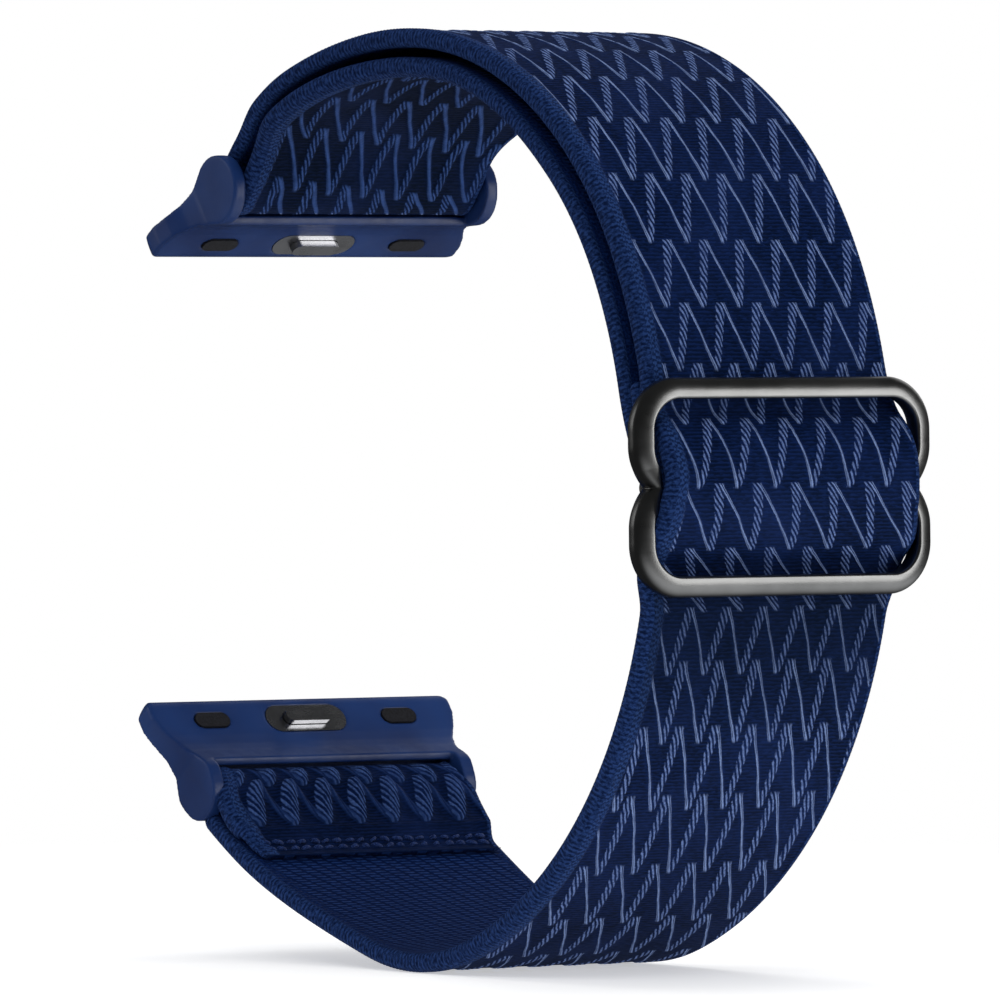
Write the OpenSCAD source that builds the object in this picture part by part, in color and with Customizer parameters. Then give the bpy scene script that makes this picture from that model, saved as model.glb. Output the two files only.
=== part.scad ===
// Elastic woven watch band with a sliding figure-eight buckle and two slide-in lug adapters.
// The strap is one flat elastic webbing. From the lower adapter it runs round the outside of the loop, weaves
// through the buckle, goes over the crown of the loop to the upper adapter, wraps that adapter's crossbar and comes
// back as an inner layer whose end is sewn round the buckle's middle bar.
// Side profile in the X-Z plane, width along Y. The outer face of the webbing follows a chain of tangent arcs.

/* [Webbing] */
// Width of the webbing
band_w = 24; // [22:0.5:24]
// Thickness of the webbing
band_t = 1.5; // [1.4:0.05:1.5]
// Thickness of the webbing where it is drawn tight round a bar
tight_t = 1.2; // [1.0:0.05:1.2]

/* [Loop shape] */
// Radius of the loop just after the upper adapter
rise_r = 23.5; // [23.3:0.1:23.7]
// Radius over the crown of the loop
crown_r = 41.5; // [41.3:0.1:41.7]
// Radius of the shoulder between crown and buckle
shoulder_r = 34; // [33.8:0.1:34.2]
// Radius of the side that the buckle slides on
side_r = 41; // [40.8:0.1:41.2]
// Radius of the lower quarter
quarter_r = 39; // [38.8:0.1:39.2]
// Radius at the foot of the loop
foot_r = 24; // [23.8:0.1:24.2]
// Radius of the end that runs up to the lower adapter
end_r = 75; // [74:0.5:76]

/* [Buckle] */
// Overall width of the buckle across the webbing
buckle_w = 29.4; // [29:0.1:30]
// Overall height of the buckle along the webbing
buckle_h = 17.4; // [17.4:0.1:17.8]
// Height of each outer bar seen from the front
bar_h = 1.7; // [1.5:0.05:1.7]
// Depth of the buckle frame from front to back
bar_d = 2.0; // [1.9:0.05:2.1]
// Corner radius of each half of the buckle
buckle_corner = 4.2; // [3.8:0.1:4.4]
// Radius of the middle bar
middle_r = 0.7; // [0.6:0.05:0.7]

/* [Adapters] */
// Radius of the steel crossbar that carries the webbing
cross_r = 0.7; // [0.65:0.01:0.7]
// Length of the tongue that slides into the case, along Y
tongue_l = 30.6; // [30:0.1:31]
// Overall width of the adapter across its ears
ear_w = 26.8; // [26.4:0.1:27]
// Radius of the round ears
ear_r = 2.9; // [2.8:0.05:3]
// Thickness of the tongue
tongue_t = 2.1; // [2.1:0.05:2.2]
// Distance from the crossbar to the centre of the tongue's round tip
tongue_reach = 8.1; // [8:0.05:8.2]

/* [Catch] */
// Width of the catch button across the tongue
catch_w = 1.3; // [1.2:0.05:1.3]
// Length of the catch button
catch_l = 4.6; // [4.2:0.1:4.8]
// How far the catch button stands out of the tongue
catch_out = 0.6; // [0.55:0.05:0.65]

/* [Hidden] */
$fn = 72;

navy = [0.06, 0.11, 0.25];
navy_light = [0.10, 0.16, 0.33];
plastic = [0.09, 0.15, 0.34];
gunmetal = [0.18, 0.18, 0.19];
steel = [0.72, 0.73, 0.75];
pad_grey = [0.08, 0.08, 0.10];

fit_c = 0.05;                          // running clearance round the crossbars
wrap_in = cross_r + fit_c;             // inner radius of the webbing round a crossbar
gap = 2 * wrap_in;                     // space between the two layers of webbing
inner_off = band_t + gap;              // inward offset of the inner layer's outer face

// heading of the strap's outer face at the ends of its arcs, clockwise from the upper adapter: 90 is up, 0 is +X
HD = [56, 22, -5, -60, -118, -160, -195, -215];
RR = [rise_r, crown_r, shoulder_r, side_r, quarter_r, foot_r, end_r];
START = [-5.1, 25.6];                  // where the outer face leaves the upper crossbar
function inward(h) = [sin(h), -cos(h)];
function arc_c(i) = i == 0 ? START + inward(HD[0]) * RR[0] : arc_c(i - 1) + inward(HD[i]) * (RR[i] - RR[i - 1]);
function at(i, h, off) = arc_c(i) - inward(h) * (RR[i] - off);

upper_bar = START + inward(HD[0]) * (band_t + wrap_in);
lower_bar = at(6, HD[7], band_t + wrap_in);

// the webbing is split where it bends most: headings of the split faces
h_crown_a = 12;                        // start of the crown flex zone
h_crown_b = -5;                        // its end
h_quarter_a = -140;                    // start of the lower flex zone
h_quarter_b = -160;                    // its end
h_stretch_a = -195;                    // start of the stretch zone
h_stretch_b = -203;                    // its end

// buckle: it sits on the side arc, turned by its own polar angle about that arc's centre
side_c = arc_c(3);
buckle_a = 1;                          // polar angle of the buckle on the side arc
frame_n = 0.5;                         // frame's mid plane, out from the webbing's outer face
middle_n = -0.35;                      // middle bar's axis, out from the webbing's outer face
bar_round = 0.45;                      // rounding of the frame's edges
wave_a = 13;                           // half angle of the stretch of side arc that travels with the buckle
crest_n = 2.85;                        // outer face of the wave over the middle bar
wave_r = 7.4;                          // outer radius of the wave
valley_r = 3;                          // radius of the outer face in the valley before a bar
// steepest slope of the wave, where its crest and its valley meet
wave_slope = let (a = side_r + crest_n - wave_r, b = wave_r + valley_r, d = side_r + valley_r)
    acos((d * d - a * a - b * b) / (2 * a * b));

// adapters
upper_turn = 216;                      // polar angle from the upper crossbar to its tongue
lower_turn = 127;                      // polar angle from the lower crossbar to its tongue
gutter_r = 2.16;                       // inner radius of the hollow that the webbing turns in
gutter_a = 50;                         // half angle of that hollow
tongue_b = 0.35;                       // tongue's mid plane, out from the crossbar
ear_gap = 0.2;                         // play of the webbing between the ears
catch_a = 6.7;                         // catch's place along the tongue
face_b = tongue_b - tongue_t / 2;      // wrist-side face of the tongue
plate_t = 0.3;
flange_t = 0.3;
pocket_d = 1.5;

// the finished band stands on its foot with its middle over the origin
x_low = min(upper_bar.x + tongue_reach * cos(upper_turn) + tongue_b * cos(upper_turn - 90) - tongue_t / 2,
    lower_bar.x + tongue_reach * cos(lower_turn) + tongue_b * cos(lower_turn + 90) - tongue_t / 2);
x_high = side_c.x + (side_r + crest_n - wave_r) * cos(buckle_a) + wave_r;
z_low = arc_c(5).y - foot_r;
module placed() translate([-(x_low + x_high) / 2, 0, -z_low]) children();

// ---- webbing ----
module webbing_section(th) {
    translate([0, -band_w / 2 + th / 2]) square([th, band_w - th]);
    for (s = [-1, 1]) translate([th / 2, s * (band_w / 2 - th / 2)]) circle(d = th);
}
module on_arc(c) translate([c.x, 0, c.y]) rotate([90, 0, 0]) children();
// a stretch of webbing on arc i from heading ha down to hb, its outer face off inside the strap's outer face
module stretch(i, ha, hb, off = 0, th = band_t)
    on_arc(arc_c(i)) rotate([0, 0, hb + 90]) rotate_extrude(angle = ha - hb)
        translate([RR[i] - off - th, 0]) webbing_section(th);
// a flat-sided stretch of webbing drawn as an outline in the X-Z plane
module ribbon(pts, w = band_w) rotate([90, 0, 0]) translate([0, 0, -w / 2]) linear_extrude(w) polygon(pts);
// half a turn of webbing round a crossbar, from polar angle a0 to a0 + 180
module half_wrap(c, a0)
    on_arc(c) rotate([0, 0, a0]) rotate_extrude(angle = 180) translate([wrap_in, 0]) webbing_section(tight_t);

module upper_wrap() color(navy) placed() half_wrap(upper_bar, HD[0] + 90);
module rising_run() color(navy_light) placed() stretch(0, HD[0], HD[1]);
module crown_run() color(navy_light) placed() stretch(1, HD[1], h_crown_a);
module crown_flex_outer() color(navy) placed() stretch(1, h_crown_a, h_crown_b);
module shoulder_run() color(navy_light) placed() stretch(2, HD[2], HD[3]);
module run_above_buckle() color(navy) placed() stretch(3, HD[3], buckle_a + wave_a - 90);
module run_below_buckle() color(navy) placed() stretch(3, buckle_a - wave_a - 90, HD[4]);
module quarter_run() color(navy_light) placed() stretch(4, HD[4], h_quarter_a);
module quarter_flex() color(navy) placed() stretch(4, h_quarter_a, h_quarter_b);
module foot_run() color(navy_light) placed() stretch(5, HD[5], HD[6]);
module stretch_run() color(navy) placed() stretch(6, h_stretch_a, h_stretch_b);
module end_run() color(navy_light) placed() stretch(6, h_stretch_b, HD[7]);
module lower_wrap() color(navy) placed() half_wrap(lower_bar, HD[7] - 90);
module inner_rising_run() color(navy_light) placed() stretch(0, HD[0], HD[1], inner_off);
module inner_crown_run() color(navy_light) placed() stretch(1, HD[1], h_crown_a, inner_off);
module crown_flex_inner() color(navy) placed() stretch(1, h_crown_a, h_crown_b, inner_off);
module inner_shoulder_run() color(navy_light) placed() stretch(2, HD[2], HD[3], inner_off);
module inner_slack_run() color(navy) placed() stretch(3, HD[3], buckle_a + wave_a - 90, inner_off);

// the folded end at the lower crossbar: it closes up on the outer layer and is sewn to it
tab_steps = 14;
tab_h0 = HD[7];
tab_h1 = -207.6;                       // heading of the strap beside the cut end of the tab
function ease(u) = u <= 0 ? 0 : u >= 1 ? 1 : u * u * (3 - 2 * u);
function tab_off(u) = band_t + 0.05 + (gap - 0.05) * (1 - ease(u / 0.62));
module lower_end_tab() color(navy_light) placed() ribbon(concat(
    [for (k = [0:tab_steps]) let (u = k / tab_steps) at(6, tab_h0 + (tab_h1 - tab_h0) * u, tab_off(u))],
    [for (k = [tab_steps:-1:0]) let (u = k / tab_steps) at(6, tab_h0 + (tab_h1 - tab_h0) * u, tab_off(u) + band_t)]));
// two rows of thread across the sewn end
module lower_tab_stitching() color(navy) placed()
    for (row = [-208.9, -209.6], k = [-9:9])
        let (p = at(6, row, tab_off(1) + band_t + 0.16))
            translate([p.x, k * 1.2, p.y]) rotate([90, 0, 0]) cylinder(h = 0.9, r = 0.15, center = true, $fn = 16);

// ---- buckle ----
// local frame of the buckle: x out from the webbing's outer face, y across, z along the webbing
module on_buckle() placed() translate([side_c.x, 0, side_c.y]) rotate([0, -buckle_a, 0]) translate([side_r, 0, 0]) children();
// each half of the frame is a rounded ring of bar; the two run together at the waist, beside the middle bar
ring_low = -0.95;                      // lower edge of the upper ring, below the waist
module bar_profile() {
    translate([bar_round, -bar_d / 2]) square([bar_h - 2 * bar_round, bar_d]);
    translate([0, bar_round - bar_d / 2]) square([bar_h, bar_d - 2 * bar_round]);
    for (x = [bar_round, bar_h - bar_round], y = [-1, 1]) translate([x, y * (bar_d / 2 - bar_round)]) circle(bar_round, $fn = 32);
}
module ring_corner(z, a) translate([buckle_w / 2 - buckle_corner, z, 0]) rotate([0, 0, a])
    rotate_extrude(angle = 90) translate([buckle_corner - bar_h, 0]) bar_profile();
module half_ring() {
    for (m = [0, 1]) mirror([m, 0, 0]) {
        ring_corner(buckle_h / 2 - buckle_corner, 0);
        difference() {
            ring_corner(ring_low + buckle_corner, -90);
            translate([-buckle_w, -5, -5]) cube([2 * buckle_w, 5, 10]);
            translate([0, -5, -5]) cube([band_w / 2 + 0.4, 7, 10]);
        }
        translate([buckle_w / 2 - bar_h, buckle_h / 2 - buckle_corner, 0]) rotate([90, 0, 0])
            linear_extrude(buckle_h / 2 - 2 * buckle_corner - ring_low) bar_profile();
    }
    translate([buckle_corner - buckle_w / 2, buckle_h / 2 - bar_h, 0]) rotate([90, 0, 90])
        linear_extrude(buckle_w - 2 * buckle_corner) bar_profile();
}
module buckle_frame() color(gunmetal) on_buckle() difference() {
    translate([frame_n, 0, 0]) rotate([90, 0, 90]) {
        half_ring();
        mirror([0, 1, 0]) half_ring();
    }
    // seats for the middle bar
    translate([middle_n, 0, 0]) rotate([90, 0, 0]) cylinder(h = middle_l, r = middle_r, center = true);
}
middle_l = band_w + 1.8;
module buckle_middle_bar() color(gunmetal) on_buckle() translate([middle_n, 0, 0]) rotate([90, 0, 0])
    cylinder(h = middle_l, r = middle_r, center = true);

// the webbing rises from under the upper bar, passes over the middle bar and dips under the lower bar
wave_c = [crest_n - wave_r, 0];
valley_c = wave_c + (wave_r + valley_r) * [cos(wave_slope), sin(wave_slope)];
valley_end = asin(valley_c.y / (side_r + valley_r));
// half of the wave from its upper end to its crest, off inside the outer face
function wave_half(off) = concat(
    [for (k = [0:2]) let (a = wave_a + (valley_end - wave_a) * k / 2) (side_r - off) * [cos(a), sin(a)] - [side_r, 0]],
    [for (k = [1:7]) let (a = 180 + valley_end + (wave_slope - valley_end) * k / 7) valley_c + (valley_r + off) * [cos(a), sin(a)]],
    [for (k = [1:10]) let (a = wave_slope * (1 - k / 10)) wave_c + (wave_r - off) * [cos(a), sin(a)]]);
function wave_side(off) = let (h = wave_half(off)) concat(h, [for (k = [len(h) - 2:-1:0]) [h[k].x, -h[k].y]]);
module buckle_wave() color(navy_light) on_buckle()
    ribbon(let (o = wave_side(0), i = wave_side(band_t)) concat(o, [for (k = [len(i) - 1:-1:0]) i[k]]));
// the end of the inner layer: it comes down inside the buckle, rounds the middle bar, goes up under the wave and is
// sewn back on itself; a wedge stays open between its two layers above the bar
loop_in = [[-5.15, 7], [-4.88, 6], [-4.57, 5], [-4.2, 4], [-3.78, 3], [-3.32, 2], [-2.85, 1], [-2.47, 0.2], [-2.15, -0.5],
    [-1.7, -1.15], [-1.05, -1.62], [-0.3, -1.75], [0.45, -1.5], [0.98, -0.95], [1.2, -0.3]];
loop_clear = 0.07;                     // play between the loop and the wave over it
loop_up = let (h = wave_half(band_t + loop_clear)) [for (k = [len(h) - 2:-1:1]) h[k]];
function bent(n, z) = let (a = asin(z / side_r)) [(side_r + n) * cos(a) - side_r, (side_r + n) * sin(a)];
module buckle_loop() color(navy) on_buckle() difference() {
    ribbon(concat([bent(-inner_off - band_t, 9.2)], loop_in, loop_up, [bent(-band_t - loop_clear, 8.4), bent(-inner_off + 0.05, 8.45), bent(-inner_off, 9.2)]));
    translate([middle_n, 0, 0]) rotate([90, 0, 0]) cylinder(h = band_w + 1, r = middle_r + 0.03, center = true);
    ribbon([[middle_n - 0.45, 0.1], [middle_n + 0.4, 0.1], [-1.75, 3.6]], band_w + 1);
}
module buckle_loop_stitching() color(navy_light) on_buckle()
    for (k = [-9:9]) translate([-4.6 - 0.19, k * 1.2, 5.1]) rotate([90, 0, 0])
        cylinder(h = 0.9, r = 0.15, center = true, $fn = 16);

// ---- adapters ----
// local frame of an adapter: x from the crossbar to the tongue's tip, y across the webbing, z away from the wrist
module on_adapter(c, turn, flip) placed() translate([c.x, 0, c.y]) rotate([0, -turn, 0]) mirror([0, 0, flip]) children();
module on_upper() on_adapter(upper_bar, upper_turn, 1) children();
module on_lower() on_adapter(lower_bar, lower_turn, 0) children();

// outline of an adapter from the side: the round ear, the neck and the tongue with its round tip
neck_out = [[0.9, ear_r - 0.14], [1.7, 2.42], [2.5, 2.08], [3.3, 1.8], [4.2, 1.58], [5.2, tongue_b + tongue_t / 2 + 0.04],
    [6.2, tongue_b + tongue_t / 2]];
neck_in = [[6.2, face_b], [5.2, face_b - 0.04], [4.2, face_b - 0.24], [3.3, -1.28], [2.5, -1.78], [1.7, -2.3], [0.9, -2.74]];
function arc_pts(c, r, a0, a1, n) = [for (k = [0:n]) let (a = a0 + (a1 - a0) * k / n) c + r * [cos(a), sin(a)]];
module side_outline() polygon(concat(neck_out, arc_pts([tongue_reach, tongue_b], tongue_t / 2, 90, -90, 12), neck_in,
    arc_pts([0, 0], ear_r, -90, -270, 30)));
// the same outline seen from above: the ends of the tongue follow the round corner of the case
plan = [[-4, -ear_w / 2], [2.6, -ear_w / 2], [4.2, -ear_w / 2 - 0.6], [5.6, -tongue_l / 2 + 0.5], [7, -tongue_l / 2],
    [8.3, -tongue_l / 2], [9.2, -tongue_l / 2 + 0.6], [10, -tongue_l / 2 + 1.6]];
module along_y(w) rotate([90, 0, 0]) translate([0, 0, -w / 2]) linear_extrude(w) children();
module pill(w, l, h) {
    translate([-w / 2, -l / 2 + w / 2, 0]) cube([w, l - w, h]);
    for (s = [-1, 1]) translate([0, s * (l / 2 - w / 2), 0]) cylinder(h = h, d = w, $fn = 32);
}
module lug_body() difference() {
    intersection() {
        along_y(tongue_l + 2) side_outline();
        translate([0, 0, -5]) linear_extrude(10) polygon(concat(plan, [for (k = [len(plan) - 1:-1:0]) [plan[k].x, -plan[k].y]]));
    }
    // room for the webbing between the ears, open away from the tongue
    along_y(band_w + 2 * ear_gap) circle(gutter_r);
    along_y(band_w + 2 * ear_gap)
        polygon([[0, 0], 6 * [cos(gutter_a), sin(gutter_a)], [-6, 6], [-6, -6], 6 * [cos(gutter_a), -sin(gutter_a)]]);
    // blind holes for the crossbar in the ears
    rotate([90, 0, 0]) cylinder(h = ear_w - 1, r = cross_r, center = true);
    // pocket for the catch and its spring, with a recess for the retaining plate
    translate([catch_a, 0, face_b - 0.5]) pill(2.2, 6, pocket_d + 0.5);
    translate([catch_a, 0, face_b - 0.5]) pill(2.6, 8, plate_t + 0.5);
    // pockets for the grip pads
    for (s = [-1, 1]) translate([catch_a, s * 9.5, face_b - 0.5]) pill(1.4, 3.4, 1.4);
}
module crossbar() rotate([90, 0, 0]) cylinder(h = ear_w - 1, r = cross_r, center = true);
module catch_button() {
    translate([catch_a, 0, face_b - catch_out]) pill(catch_w, catch_l, catch_out + plate_t + 0.02);
    translate([catch_a, 0, face_b + plate_t + 0.02]) pill(1.9, 5.4, flange_t);
}
module catch_plate() translate([catch_a, 0, face_b]) difference() {
    pill(2.6, 8, plate_t);
    translate([0, 0, -1]) pill(catch_w + 0.12, catch_l + 0.12, 3);
}
// a bowed strip of spring steel between the pocket's floor and the catch
bow_h = pocket_d - plate_t - flange_t - 0.02;
bow_t = 0.12;
bow_l = 4.6;
bow_r = (bow_l * bow_l / 4 + (bow_h - bow_t) * (bow_h - bow_t)) / (2 * (bow_h - bow_t));
bow_a = asin(bow_l / 2 / bow_r);
module catch_spring() translate([catch_a, 0, face_b + plate_t + flange_t + 0.02 + bow_r]) rotate([0, 90, 0])
    rotate([0, 0, -bow_a]) rotate_extrude(angle = 2 * bow_a) translate([bow_r - bow_t, -0.6]) square([bow_t, 1.2]);
module grip_pads() for (s = [-1, 1]) translate([catch_a, s * 9.5, face_b - 0.12]) pill(1.4, 3.4, 1.02);

module upper_lug_body() color(plastic) on_upper() lug_body();
module upper_crossbar() color(steel) on_upper() crossbar();
module upper_catch() color(steel) on_upper() catch_button();
module upper_catch_plate() color(steel) on_upper() catch_plate();
module upper_catch_spring() color(steel) on_upper() catch_spring();
module upper_grip_pads() color(pad_grey) on_upper() grip_pads();
module lower_lug_body() color(plastic) on_lower() lug_body();
module lower_crossbar() color(steel) on_lower() crossbar();
module lower_catch() color(steel) on_lower() catch_button();
module lower_catch_plate() color(steel) on_lower() catch_plate();
module lower_catch_spring() color(steel) on_lower() catch_spring();
module lower_grip_pads() color(pad_grey) on_lower() grip_pads();

upper_lug_body();
upper_crossbar();
upper_catch();
upper_catch_plate();
upper_catch_spring();
upper_grip_pads();
lower_lug_body();
lower_crossbar();
lower_catch();
lower_catch_plate();
lower_catch_spring();
lower_grip_pads();
buckle_frame();
buckle_middle_bar();
upper_wrap();
rising_run();
crown_run();
crown_flex_outer();
shoulder_run();
run_above_buckle();
buckle_wave();
run_below_buckle();
quarter_run();
quarter_flex();
foot_run();
stretch_run();
end_run();
lower_wrap();
lower_end_tab();
inner_rising_run();
inner_crown_run();
crown_flex_inner();
inner_shoulder_run();
inner_slack_run();
buckle_loop();
lower_tab_stitching();
buckle_loop_stitching();
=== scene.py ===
import math

import bpy
import numpy as np
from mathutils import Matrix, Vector


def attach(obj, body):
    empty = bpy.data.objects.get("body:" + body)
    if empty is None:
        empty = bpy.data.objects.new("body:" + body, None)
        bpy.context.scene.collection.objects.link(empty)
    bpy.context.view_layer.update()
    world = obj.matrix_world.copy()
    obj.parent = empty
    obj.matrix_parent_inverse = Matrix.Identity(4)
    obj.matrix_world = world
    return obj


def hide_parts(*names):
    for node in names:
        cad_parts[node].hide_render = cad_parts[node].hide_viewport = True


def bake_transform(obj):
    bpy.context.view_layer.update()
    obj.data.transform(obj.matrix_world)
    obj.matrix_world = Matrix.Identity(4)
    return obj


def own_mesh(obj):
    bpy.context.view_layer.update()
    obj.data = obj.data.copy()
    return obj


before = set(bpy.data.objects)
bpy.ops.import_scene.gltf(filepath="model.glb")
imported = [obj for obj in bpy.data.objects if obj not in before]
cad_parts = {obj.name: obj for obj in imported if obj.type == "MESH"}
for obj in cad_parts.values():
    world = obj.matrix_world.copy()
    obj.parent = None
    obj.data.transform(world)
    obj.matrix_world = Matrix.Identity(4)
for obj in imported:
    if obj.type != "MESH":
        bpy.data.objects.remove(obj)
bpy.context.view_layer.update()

rng = np.random.default_rng(7)
R = math.radians
scene = bpy.context.scene

# ---------------------------------------------------------------------------------------------------------------
# the strap's path, in millimetres, in the X-Z plane: the same chain of arcs as the CAD
# ---------------------------------------------------------------------------------------------------------------
HD = [56, 22, -5, -60, -118, -160, -195, -215]
RR = [23.5, 41.5, 34.0, 41.0, 39.0, 24.0, 75.0]
OFF = np.array([-23.721, 39.2932])
HALF_W = 12.0


def inward(h):
    return np.array([math.sin(R(h)), -math.cos(R(h))])


ARC = [np.array([-5.1, 25.6]) + inward(HD[0]) * RR[0]]
for i in range(1, 7):
    ARC.append(ARC[-1] + inward(HD[i]) * (RR[i] - RR[i - 1]))


def at(i, h, off):
    return ARC[i] - inward(h) * (RR[i] - off)


def arc(i, h0, h1, off, step=0.04):
    n = max(3, int(abs(R(h1 - h0)) * RR[i] / step))
    return [at(i, h, off) for h in np.linspace(h0, h1, n)]


UP = np.array([-5.1, 25.6]) + inward(HD[0]) * 2.25
LO = at(6, HD[7], 2.25)
SIDE, SR = ARC[3], 41.0
BUCKLE_A = 1.0
CREST, WR, VR = 2.85, 7.4, 3.0
_a, _b, _d = SR + CREST - WR, WR + VR, SR + VR
SLOPE = math.degrees(math.acos((_d * _d - _a * _a - _b * _b) / (2 * _a * _b)))
VC = (CREST - WR + _b * math.cos(R(SLOPE)), _b * math.sin(R(SLOPE)))
VE = math.degrees(math.asin(VC[1] / (SR + VR)))


def local(n, s):
    """A point of the buckle's own frame (out, along) in the X-Z plane."""
    c, k = math.cos(R(BUCKLE_A)), math.sin(R(BUCKLE_A))
    return SIDE + np.array([(SR + n) * c - s * k, (SR + n) * k + s * c])


def wave_half(off):
    out = []
    for a in np.linspace(13, VE, 40, endpoint=False):
        out.append(((SR - off) * math.cos(R(a)) - SR, (SR - off) * math.sin(R(a))))
    for a in np.linspace(180 + VE, 180 + SLOPE, 60, endpoint=False):
        out.append((VC[0] + (VR + off) * math.cos(R(a)), VC[1] + (VR + off) * math.sin(R(a))))
    for a in np.linspace(SLOPE, 0, 140):
        out.append((CREST - WR + (WR - off) * math.cos(R(a)), (WR - off) * math.sin(R(a))))
    return out


def smooth01(x):
    x = np.clip(x, 0, 1)
    return x * x * (3 - 2 * x)


def ease(u):
    return 0.0 if u <= 0 else 1.0 if u >= 1 else u * u * (3 - 2 * u)


# loop round the middle bar: its pattern side, from the sewn-back end to the inner layer
LOOP_IN = [[-5.15, 7], [-4.88, 6], [-4.57, 5], [-4.2, 4], [-3.78, 3], [-3.32, 2], [-2.85, 1], [-2.47, 0.2], [-2.15, -0.5],
           [-1.7, -1.15], [-1.05, -1.62], [-0.3, -1.75], [0.45, -1.5], [0.98, -0.95], [1.2, -0.3]]


def lift(h):
    """How far the inner layer is drawn up under the outer one, by heading."""
    return smooth01((h + 42) / 34) * smooth01((55.5 - h) / 20)


def bent(n, z):
    a = math.asin(z / SR)
    return ((SR + n) * math.cos(a) - SR, (SR + n) * math.sin(a))


segments = []          # (name, points)
up_side = [p for p in wave_half(1.5 + 0.09) if p[1] < 8.3]
segments.append(("loop_return", [local(*bent(-1.6, 8.75))] + [local(*p) for p in up_side[:-1]]))
segments.append(("loop_round", [local(*p) for p in LOOP_IN[::-1]]))
segments.append(("inner", [local(*bent(-4.5, z)) for z in np.linspace(8.0, 9.2, 8)][1:]
                 + arc(3, -76, -60, 4.5)[1:]
                 + [at(i, h, 4.5 - 0.75 * lift(h)) for i, a, b in ((2, -60, -5), (1, -5, 22), (0, 22, 56))
                    for h in np.linspace(a, b, int(abs(R(b - a)) * RR[i] / 0.04))[1:]]))


def wrap(c, a0, a1, n=160):
    """The half turn round a crossbar."""
    out = []
    for f in np.linspace(0, 1, n)[1:-1]:
        a = R(a0 + (a1 - a0) * f)
        out.append(c + 2.25 * np.array([math.cos(a), math.sin(a)]))
    return out


segments.append(("upper_wrap", wrap(UP, 326, 146)))
w = wave_half(0.0)
w = w + [(n, -s) for n, s in w[::-1][1:]]
segments.append(("outer", arc(0, 56, 22, 0) + arc(1, 22, -5, 0)[1:] + arc(2, -5, -60, 0)[1:] + arc(3, -60, -76, 0)[1:-1]
                 + [local(n, s) for n, s in w] + arc(3, -102, -118, 0)[1:] + arc(4, -118, -160, 0)[1:]
                 + arc(5, -160, -195, 0)[1:] + arc(6, -195, -215, 0)[1:]))
segments.append(("lower_wrap", wrap(LO, 235, 55)))


def tab_thick(t):
    return 1.5 - 0.95 * smooth01((t - 0.66) / 0.2)


segments.append(("tab", [at(6, -215 + 7.4 * t, 1.55 + 1.45 * (1 - ease(t / 0.62)) + tab_thick(t)) for t in np.linspace(0, 1, 240)]))

pts, mark = [], {}
for name, p in segments:
    mark[name] = len(pts)
    pts += [np.asarray(q, float) for q in p]
pts = np.array(pts)
keep = np.r_[True, np.linalg.norm(np.diff(pts, axis=0), axis=1) > 1e-5]
index = np.cumsum(keep) - 1
pts = pts[keep]
S = np.r_[0, np.cumsum(np.linalg.norm(np.diff(pts, axis=0), axis=1))]
s_mark = {k: S[index[v]] for k, v in mark.items()}
S_START = s_mark["outer"]                    # U = 0 here, where the outer layer leaves the upper crossbar
STEP = 0.02
uu = np.arange(0, S[-1], STEP)
px, pz = np.interp(uu, S, pts[:, 0]), np.interp(uu, S, pts[:, 1])


def blur(a, sigma_mm):
    k = int(4 * sigma_mm / STEP)
    g = np.exp(-0.5 * (np.arange(-k, k + 1) * STEP / sigma_mm) ** 2)
    g /= g.sum()
    left, right = 2 * a[0] - a[k:0:-1], 2 * a[-1] - a[-2:-k - 2:-1]
    return np.convolve(np.r_[left, a, right], g, "valid")


loop_zone = 1 - smooth01((uu - s_mark["inner"] - 1.5) / 2.0)
bx, bz = blur(px, 0.45), blur(pz, 0.45)
px, pz = px + (bx - px) * loop_zone, pz + (bz - pz) * loop_zone
px, pz = blur(px, 0.12), blur(pz, 0.12)
tx, tz = np.gradient(px, STEP), np.gradient(pz, STEP)
tx, tz = blur(tx, 0.15), blur(tz, 0.15)
tl = np.hypot(tx, tz)
nx, nz = -tz / tl, tx / tl                   # the pattern side
U_ALL = uu - S_START
U_WRAP = s_mark["upper_wrap"] - S_START      # where the inner layer meets the upper wrap
U_END = s_mark["lower_wrap"] - S_START       # where the outer layer ends
U_TAB = s_mark["tab"] - S_START              # where the tab starts
U_LAST = U_ALL[-1]
U_FIRST = U_ALL[0]


def turning(u, past=2.4):
    """1 where the webbing turns round a crossbar, easing to 0 a little way past the turn."""
    return np.maximum(smooth01((u - U_WRAP + past) / past) * smooth01((past - u) / past),
                      smooth01((u - U_END + past) / past) * smooth01((U_TAB + past - u) / past))


# drawn tight, the webbing is thinner round the crossbars
px, pz = px - 0.22 * turning(U_ALL) * nx, pz - 0.22 * turning(U_ALL) * nz

# thickness along the strap
thick = np.full_like(uu, 1.5)
for c, a, b in ((UP, "upper_wrap", "outer"), (LO, "lower_wrap", "tab")):
    m = (uu > s_mark[a] - 3.2) & (uu < s_mark[b] + 3.2)
    d = np.hypot(px[m] - c[0], pz[m] - c[1]) - 0.76
    thick[m] = np.minimum(1.5, np.maximum(d, 1.1))
bar = local(-0.35, 0)
m = uu < s_mark["inner"]
d = np.hypot(px[m] - bar[0], pz[m] - bar[1]) - 0.78
thick[m] = np.clip(d, 0.7, np.where(uu[m] < s_mark["loop_round"], 1.34, 1.44))
m = U_ALL > U_TAB
thick[m] = tab_thick((U_ALL[m] - U_TAB) / (U_LAST - U_TAB))
thick = blur(thick, 0.35)
# the two cut ends are rounded
for e in (U_FIRST, U_LAST):
    q = np.abs(U_ALL - e) / 0.38
    thick = thick * np.where(q < 1, np.sqrt(np.clip(1 - (1 - q) ** 2, 0.04, 1)), 1)

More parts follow.
